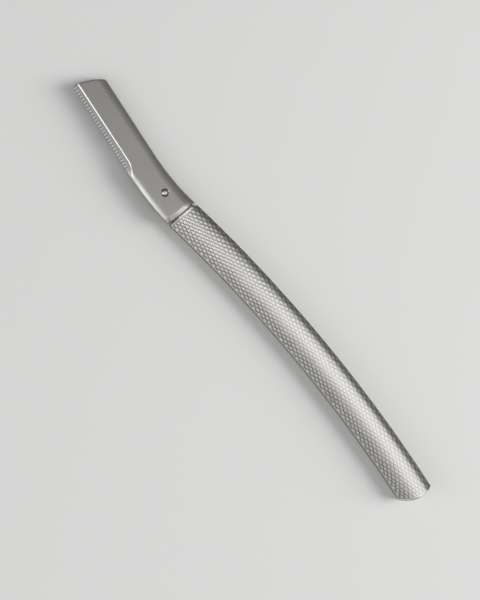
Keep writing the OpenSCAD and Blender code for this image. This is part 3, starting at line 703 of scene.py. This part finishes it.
def prism(outline, z0, z1):
    return finish_mesh(loft("cutter", [[(x, y, z) for x, y in outline] for z in (z0, z1)]))


def circle(r, n):
    angles = [2 * math.pi * k / n for k in range(n)]
    return [(r * math.cos(a), r * math.sin(a)) for a in angles]


def lathe(name, profile, segments):
    """Closed solid of revolution round Z through points (radius, height), from the bottom up."""
    verts, rings = [], []
    for r, z in profile:
        if r == 0:
            rings.append([len(verts)] * segments)
            verts.append((0, 0, z))
            continue
        rings.append([len(verts) + k for k in range(segments)])
        verts += [(x, y, z) for x, y in circle(r, segments)]
    faces = []
    for lo, hi in zip(rings, rings[1:]):
        for k in range(segments):
            m = (k + 1) % segments
            quad = tuple(dict.fromkeys((lo[k], lo[m], hi[m], hi[k])))
            if len(quad) > 2:
                faces.append(quad)
    return finish_mesh(make_object(name, verts, faces))


def bore(r, z0, z1, segments):
    return lathe("cutter", [(0, z0), (r, z0), (r, z1), (0, z1)], segments)


def cut(ob, cutters):
    bpy.context.view_layer.objects.active = ob
    for cutter in cutters:
        mod = ob.modifiers.new("cut", "BOOLEAN")
        mod.operation = "DIFFERENCE"
        mod.solver = "EXACT"
        mod.object = cutter
        bpy.ops.object.modifier_apply(modifier=mod.name)
        bpy.data.objects.remove(cutter)


def clamp_room():
    """Outline of the room under the cover for the blade and the plate's swing out to the side."""
    stop = turned(0, ROOM_R, STOP_A)
    reach = turned(TIP_REACH, 0, STOP_A)
    far = (stop[0] + reach[0], stop[1] + reach[1])
    front = TIP_REACH + OVERRUN
    return [(0, -FLANGE_IN), (front, -FLANGE_IN), (front, far[1]), far, stop]


RECESS_BASE = cover_top(0) - RECESS_DEPTH
RIVET_HEAD_BASE = RECESS_BASE - RIVET_HEAD_T


def rivet_seat():
    """Bore for the rivet's shank and head, and the recess round its dome."""
    shank = RIVET_R + PIN_FIT
    head = RIVET_HEAD_R + PIN_FIT
    high = NECK_TOP + OVERRUN
    profile = [(0, -OVERRUN), (shank, -OVERRUN), (shank, RIVET_HEAD_BASE), (head, RIVET_HEAD_BASE),
               (head, RECESS_BASE), (RECESS_FLOOR_R, RECESS_BASE), (RECESS_R, RECESS_BASE + RECESS_WALL_H),
               (RECESS_RIM_R, RECESS_BASE + RECESS_RIM_H), (RECESS_RIM_R, high), (0, high)]
    return lathe("cutter", profile, RIVET_SEGMENTS)


def thumb_notch():
    """Round notch for the thumb in the flange along the spine."""
    notch = bore(NOTCH_R, -OVERRUN, FLANGE_T + OVERRUN, ROOM_SEGMENTS)
    at = Vector((NOTCH_REACH, SWING_GAP - FLANGE_IN, COVER_UNDER - NOTCH_R)) * MM
    notch.data.transform(Matrix.Translation(at) @ Matrix.Rotation(math.pi / 2, 4, "X"))
    return notch


def neck_cutters():
    """Socket of the bar's tongue and bore of the neck's pin, in the frame of the handle's rim."""
    side = BAR_W / 2 - TONGUE_STEP + SEAT_FIT
    low = BAR_Z + TONGUE_STEP - SEAT_FIT
    high = BAR_TOP - TONGUE_STEP + SEAT_FIT
    outline = [(-OVERRUN, -side), (SOCKET_LEN, -side), (SOCKET_LEN, side), (-OVERRUN, side)]
    socket = prism(outline, low, high)
    pin = bore(NECK_PIN_R + PIN_FIT, -OVERRUN, BAR_TOP + NECK_PIN_BITE + PIN_FIT, BORE_SEGMENTS)
    pin.data.transform(placed(JUNCTION_GAP + NECK_PIN_INSET, 0, 0))
    for ob in (socket, pin):
        ob.data.transform(placed(*bow_point(FRONT_LEN, 0), FRONT_LEN / BOW_R))
    return socket, pin


def cover_mesh():
    ob = finish_mesh(loft("head_skin", cover_rings()), COVER_SHARP)
    cut(ob, [prism(circle(ROOM_R, ROOM_SEGMENTS), -OVERRUN, COVER_UNDER),
             prism(clamp_room(), -OVERRUN, COVER_UNDER), rivet_seat(), thumb_notch()])
    ob.data.transform(HEAD_PLACE)
    cut(ob, neck_cutters())
    return finish_mesh(ob, COVER_SHARP)


def rivet_painted_shade(ob, radius, inner=0.0):
    """Painted shade on the faces in the groove round the rivet, between two radii, darker in two arcs."""
    values = []
    for face in ob.data.polygons:
        x, y = face.center.x / MM - RIVET.x, face.center.y / MM - RIVET.y
        a = math.degrees(math.atan2(y, x))
        outside = min(abs((a - mid + 180) % 360 - 180) - half for mid, half in SHADE_ARCS)
        darkness = mix(1, RIVET_SHADE_REST, ease(outside / SHADE_ARC_FADE))
        values.append((inner <= math.hypot(x, y) <= radius) * darkness)
    return values


def painted_edge_shade(ob):
    """Painted shade on the rounded outer edge of the cover on the blade's side."""
    normals = [face.normal for face in ob.data.polygons]
    return [COVER_SHADE * (n.y > EDGE_LEAN and within(n.z, EDGE_RISE)) for n in normals]


def ground_shine(n, at):
    """Painted highlight of a face, partly its real grinding, by its normal and its place in the head's frame."""
    if n.y > BEVEL_LEAN and within(n.z, BEVEL_RISE):
        return mix(SHOULDER_HIGHLIGHT, 1, ease((at.x - FLARE_X) / FLARE_LEN))
    if n.x < -END_LEAN and n.z > END_RISE and at.x < NECK_X + END_ZONE:
        shares = [ease((at.y - start) / run) for start, run in (END_HIGHLIGHT_BLADE, END_HIGHLIGHT_SPINE)]
        return END_HIGHLIGHT * math.prod(shares)
    on_rim = math.hypot(at.x, at.y) < RECESS_RIM_R and within(n.z, RIM_RISE)
    return 1 if on_rim else 0


def ground_faces(ob):
    """Brightness of the cover's chamfer, shoulder, neck end and recess rim: partly their grinding, partly a
    painted highlight chosen by the faces' directions.
    """
    to_head = HEAD_PLACE.inverted()
    return [ground_shine(face.normal, to_head @ face.center / MM) for face in ob.data.polygons]


head_skin = cover_mesh()
# Painted shade in the rivet's groove and along the cover's outer edge
store(head_skin, "groove", map(max, rivet_painted_shade(head_skin, RIVET_SHADE_R), painted_edge_shade(head_skin)))
# Painted highlight, partly real grinding, for the satin steel to read
store(head_skin, "ground", ground_faces(head_skin))
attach(head_skin, "handle")
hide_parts("head_cover")


# Rivet
def rivet_mesh():
    """Formed tail, shank, head and low dome."""
    step = RIVET_BASE + RIVET_TAIL_T
    sphere_r = (RIVET_HEAD_R ** 2 + RIVET_DOME_H ** 2) / (2 * RIVET_DOME_H)
    centre = RECESS_BASE + RIVET_DOME_H - sphere_r
    radii = [RIVET_HEAD_R * (1 - i / DOME_STEPS) for i in range(DOME_STEPS + 1)]
    dome = [(r, centre + math.sqrt(sphere_r ** 2 - r * r)) for r in radii]
    body = [(0, RIVET_BASE), (RIVET_TAIL_R - RIVET_TAIL_CHAMFER, RIVET_BASE),
            (RIVET_TAIL_R, RIVET_BASE + RIVET_TAIL_CHAMFER), (RIVET_TAIL_R, step), (RIVET_R, step),
            (RIVET_R, RIVET_HEAD_BASE), (RIVET_HEAD_R, RIVET_HEAD_BASE)]
    ob = lathe("rivet_skin", body + dome, RIVET_SEGMENTS)
    ob.data.transform(HEAD_PLACE)
    return ob


rivet_skin = rivet_mesh()
# Painted shade round the rivet's head, in the groove of its recess
store(rivet_skin, "groove",
      rivet_painted_shade(rivet_skin, RIVET_HEAD_R + PIN_FIT / 2, RIVET_HEAD_R * RIVET_SHADE_IN))
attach(rivet_skin, "handle")
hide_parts("pivot_rivet")


# Materials

# Scale per metre and detail of the fine grain and of the clouds, and depth of the grain in metres
GRAIN = (4200.0, 3.0)
CLOUDS = (160.0, 4.0)
GRAIN_DEPTH = 0.00002
# Share by which the clouds make the colour darker and lighter
CLOUD_TINT = 0.05
# Stretch of the grain: along or across the head, and along the bar
ALONG_HEAD = (0.12, 1, 1)
ACROSS_HEAD = (1, 0.12, 1)
ALONG_BAR = (0.1, 1, 1)
# Agreement of the true and the rounded normal at which an edge begins to look worn and is fully worn
WORN_TURN = (0.98, 0.8)
WORN_LIGHT = 1.25
BEVEL_SAMPLES = 4
# Depth in a groove at which grime and painted shade begin, and what they leave of the metal's colour
GRIME_SHADE_FROM = 0.4
GRIME_SHADE_COLOUR = 0.2
# Direction across the head, and the reach of the cover's painted shadow on the guard beside it
HEAD_SIDE = Vector((math.sin(HEAD_A), math.cos(HEAD_A), 0))
COVER_SHADOW_FROM = 5.1
COVER_SHADOW_TO = 5.7
# Sockets of a node that mixes colours
MIX_SHARE, MIX_A, MIX_B, MIX_OUT = 0, 6, 7, 2


def add_node(tree, kind, inputs, **settings):
    """New node with its settings, its inputs set to values or linked to other nodes' outputs."""
    node = tree.nodes.new(kind)
    for key, value in settings.items():
        setattr(node, key, value)
    for key, value in inputs.items():
        if isinstance(value, bpy.types.NodeSocket):
            tree.links.new(value, node.inputs[key])
        else:
            node.inputs[key].default_value = value
    return node


def map_range(tree, value, ends, results):
    """Output that goes from the first result to the second as a value goes from one end to the other."""
    inputs = {"Value": value, "From Min": ends[0], "From Max": ends[1],
              "To Min": results[0], "To Max": results[1]}
    return add_node(tree, "ShaderNodeMapRange", inputs).outputs["Result"]


def mix_colours(tree, share, a, b):
    inputs = {MIX_SHARE: share, MIX_A: a, MIX_B: b}
    return add_node(tree, "ShaderNodeMix", inputs, data_type="RGBA").outputs[MIX_OUT]


def dot(tree, a, b):
    return add_node(tree, "ShaderNodeVectorMath", {0: a, 1: b}, operation="DOT_PRODUCT").outputs["Value"]


def noise(tree, place, kind):
    inputs = {"Vector": place, "Scale": kind[0], "Detail": kind[1]}
    return add_node(tree, "ShaderNodeTexNoise", inputs).outputs["Fac"]


def stored(tree, name):
    return add_node(tree, "ShaderNodeAttribute", {}, attribute_name=name).outputs["Fac"]


def scaled(base, factor):
    """Colour of a metal made lighter or darker."""
    return (*[min(1, c * factor) for c in base], 1)


def worn_edges(tree, colour, base, rounded, share):
    """Brighter edges, where the rounded normal turns away from the true one."""
    normal = add_node(tree, "ShaderNodeNewGeometry", {}).outputs["Normal"]
    worn = map_range(tree, dot(tree, rounded, normal), WORN_TURN, (0, share))
    return mix_colours(tree, worn, colour, scaled(base, WORN_LIGHT))


def painted_cover_shadow(tree, colour, base, place, share):
    """Painted shadow of the cover, a darker strip next to it, by the distance across the head."""
    ends = [(RIVET.dot(HEAD_SIDE) + reach) * MM for reach in (COVER_SHADOW_FROM, COVER_SHADOW_TO)]
    outer = map_range(tree, dot(tree, place, HEAD_SIDE), ends, (0, 1))
    return mix_colours(tree, outer, scaled(base, share), colour)


def metal(name, base, rough, spread, grain, stretch=(1, 1, 1), angle=0.0, worn=0.0, round_mm=0.0,
          groove=0.0, ground=0.0, strip=0.0):
    """Metal with fine grain and cloudy roughness. It may have worn edges, a strip of painted shadow, a painted
    highlight on ground faces, and grime and painted shade in its grooves."""
    mat = bpy.data.materials.new(name)
    mat.use_nodes = True
    tree = mat.node_tree
    place = add_node(tree, "ShaderNodeTexCoord", {}).outputs["Object"]
    grain_place = add_node(tree, "ShaderNodeMapping",
                           {"Vector": place, "Rotation": (0, 0, angle), "Scale": stretch}).outputs["Vector"]
    cloud = noise(tree, place, CLOUDS)
    colour = mix_colours(tree, cloud, scaled(base, 1 - CLOUD_TINT), scaled(base, 1 + CLOUD_TINT))
    bump = {"Height": noise(tree, grain_place, GRAIN), "Strength": grain, "Distance": GRAIN_DEPTH}
    if round_mm:
        bevel = add_node(tree, "ShaderNodeBevel", {"Radius": round_mm * MM}, samples=BEVEL_SAMPLES)
        bump["Normal"] = bevel.outputs["Normal"]
        colour = worn_edges(tree, colour, base, bevel.outputs["Normal"], worn)
    # A strip of painted shadow of the cover
    if strip:
        colour = painted_cover_shadow(tree, colour, base, place, strip)
    # Painted highlight on faces marked on the mesh, partly their real grinding
    if ground:
        colour = mix_colours(tree, stored(tree, "ground"), colour, scaled(base, ground))
    # Grime and painted shade stored on the mesh darken the colour
    if groove:
        depth = map_range(tree, stored(tree, "groove"), (GRIME_SHADE_FROM, 1), (0, groove))
        colour = mix_colours(tree, depth, colour, scaled(base, GRIME_SHADE_COLOUR))
    shader = tree.nodes["Principled BSDF"].inputs
    shader["Metallic"].default_value = 1
    tree.links.new(colour, shader["Base Color"])
    tree.links.new(map_range(tree, cloud, (0, 1), (rough - spread, rough + spread)), shader["Roughness"])
    tree.links.new(add_node(tree, "ShaderNodeBump", bump).outputs["Normal"], shader["Normal"])
    return mat


# The knurled steel is much lighter than the satin steel: partly their own finishes, partly painted light that
# brightens the handle's crest against the cover's flat
satin = metal("satin_steel", (0.475, 0.465, 0.45), rough=0.3, spread=0.03, grain=0.25,
              stretch=ALONG_HEAD, angle=HEAD_A, groove=0.9, ground=1.75)
plate = metal("plate_steel", (0.53, 0.52, 0.505), rough=0.3, spread=0.03, grain=0.25,
              stretch=ALONG_HEAD, angle=HEAD_A, worn=0.6, round_mm=0.1)
knurled = metal("knurled_steel", (0.885, 0.87, 0.845), rough=0.27, spread=0.03, grain=0.2, groove=0.9)
polished = metal("polished_steel", (0.75, 0.75, 0.74), rough=0.12, spread=0.02, grain=0.05, groove=0.85)
dark = metal("dark_steel", (0.42, 0.42, 0.43), rough=0.42, spread=0.05, grain=0.4,
             stretch=ALONG_BAR, worn=0.5, round_mm=0.08)
blade_metal = metal("blade_steel", (0.36, 0.36, 0.36), rough=0.24, spread=0.03, grain=0.2,
                    stretch=ACROSS_HEAD, angle=HEAD_A)
# The guard carries a strip of painted shadow beside the cover
guard_metal = metal("guard_steel", (0.82, 0.82, 0.81), rough=0.24, spread=0.03, grain=0.2,
                    stretch=ACROSS_HEAD, angle=HEAD_A, strip=0.63)

FINISH = {"handle_back": plate, "stiffening_bar": dark, "handle_pins": polished, "neck_pin": polished,
          "rivet_washer": polished, "spring_washer": dark, "clamp_plate": plate, "blade_pegs": polished,
          "blade": blade_metal, "skin_guard": guard_metal, "handle_shell": knurled, "head_cover": satin,
          "pivot_rivet": polished}
for name, mat in FINISH.items():
    data = frame["nodes"][name].data
    data.materials.clear()
    data.materials.append(mat)
handle_skin.data.materials.append(knurled)
head_skin.data.materials.append(satin)
rivet_skin.data.materials.append(polished)

# Floor
FLOOR_SIZE = 6
FLOOR_LOOK = {"Base Color": (0.635, 0.635, 0.63, 1), "Roughness": 0.9, "Specular IOR Level": 0.1}

bpy.ops.mesh.primitive_plane_add(size=FLOOR_SIZE)
floor = bpy.context.object
floor.name = "floor"
floor_mat = bpy.data.materials.new("floor")
floor_mat.use_nodes = True
for socket, value in FLOOR_LOOK.items():
    floor_mat.node_tree.nodes["Principled BSDF"].inputs[socket].default_value = value
floor.data.materials.append(floor_mat)

# Camera, straight above the razor: scale of the picture and its height in pixels
PX_PER_MM = 3.35
IMAGE_H = 600
# Height at which that scale holds, and height of the camera above it
SIGHT_Z = 4.5 * MM
CAMERA_H = 550 * MM
# Turn of the picture's right-hand side from +X
VIEW_A = math.radians(-128.047)
RIGHT = Vector((math.cos(VIEW_A), math.sin(VIEW_A), 0))
UP = Vector((-math.sin(VIEW_A), math.cos(VIEW_A), 0))
# Middle of the picture, measured from the rivet
CENTRE_DX = -39.03
CENTRE_DY = 2.1
CENTRE = Vector((RIVET.x + CENTRE_DX, RIVET.y + CENTRE_DY, 0)) * MM

cam_data = bpy.data.cameras.new("camera")
cam = bpy.data.objects.new("camera", cam_data)
bpy.context.scene.collection.objects.link(cam)
cam.location = CENTRE + Vector((0, 0, SIGHT_Z + CAMERA_H))
cam.rotation_euler = (0, 0, VIEW_A)
cam_data.sensor_fit = "VERTICAL"
cam_data.angle_y = 2 * math.atan(IMAGE_H / PX_PER_MM * MM / 2 / CAMERA_H)
bpy.context.scene.camera = cam

# Light: directions are angles in the picture, anticlockwise from the right, and angles from upright
LEVEL = 90
# Angle in the picture towards the spine's side
SPINE_AZ = 38
# The sky is darkest at the horizon this way, and glows a little this far from upright over the spine's side
DARK_AZ = 80
GLOW_POLAR = 45
SKY_LIGHT = 0.36
SKY_DARK = 0.12
SKY_GLOW = 0.1
# Agreement with the glow's direction at which it begins
GLOW_FROM = 0.75


def direction(az, polar):
    """Unit vector by its angle in the picture and its angle from upright."""
    flat = RIGHT * math.cos(math.radians(az)) + UP * math.sin(math.radians(az))
    return flat * math.sin(math.radians(polar)) + Vector((0, 0, math.cos(math.radians(polar))))


def softbox(name, az, polar, distance, size, radiance, level=False):
    """Area lamp in metres, turned to the part or level, with its brightness given as radiance."""
    lamp = bpy.data.lights.new(name, "AREA")
    lamp.shape = "RECTANGLE"
    lamp.size, lamp.size_y = size
    lamp.energy = radiance * math.pi * size[0] * size[1]
    ob = bpy.data.objects.new(name, lamp)
    back = direction(az, polar)
    ob.location = CENTRE + back * distance
    side = direction(SPINE_AZ, LEVEL)
    up = Vector((0, 0, 1)) if level else back
    side = (side - up * side.dot(up)).normalized()
    ob.rotation_euler = Matrix((side, up.cross(side), up)).transposed().to_euler()
    bpy.context.scene.collection.objects.link(ob)
    return ob


softbox("overhead", az=-25, polar=24, distance=0.76, size=(1.1, 0.6), radiance=0.51, level=True)
softbox("soft", az=210, polar=26, distance=0.76, size=(1.1, 0.4), radiance=0.24, level=True)
key = softbox("key", az=0, polar=65, distance=1.6, size=(0.8, 0.8), radiance=17)
# The key lights the floor and draws the shadow, but isn't mirrored in the metal
key.visible_glossy = False
softbox("fill", az=194, polar=60, distance=0.55, size=(0.3, 0.3), radiance=1.6)

world = bpy.data.worlds.new("world")
bpy.context.scene.world = world
world.use_nodes = True
tree = world.node_tree
sky = add_node(tree, "ShaderNodeTexCoord", {}).outputs["Generated"]
fall = map_range(tree, dot(tree, sky, direction(DARK_AZ, LEVEL)), (0, 1), (SKY_LIGHT, SKY_DARK))
glow = map_range(tree, dot(tree, sky, direction(SPINE_AZ, GLOW_POLAR)), (GLOW_FROM, 1), (0, SKY_GLOW))
both = add_node(tree, "ShaderNodeMath", {0: fall, 1: glow}, operation="ADD").outputs["Value"]
background = tree.nodes["Background"]
tree.links.new(both, background.inputs["Color"])
background.inputs["Strength"].default_value = 1
bpy.context.scene.view_settings.view_transform = "Standard"
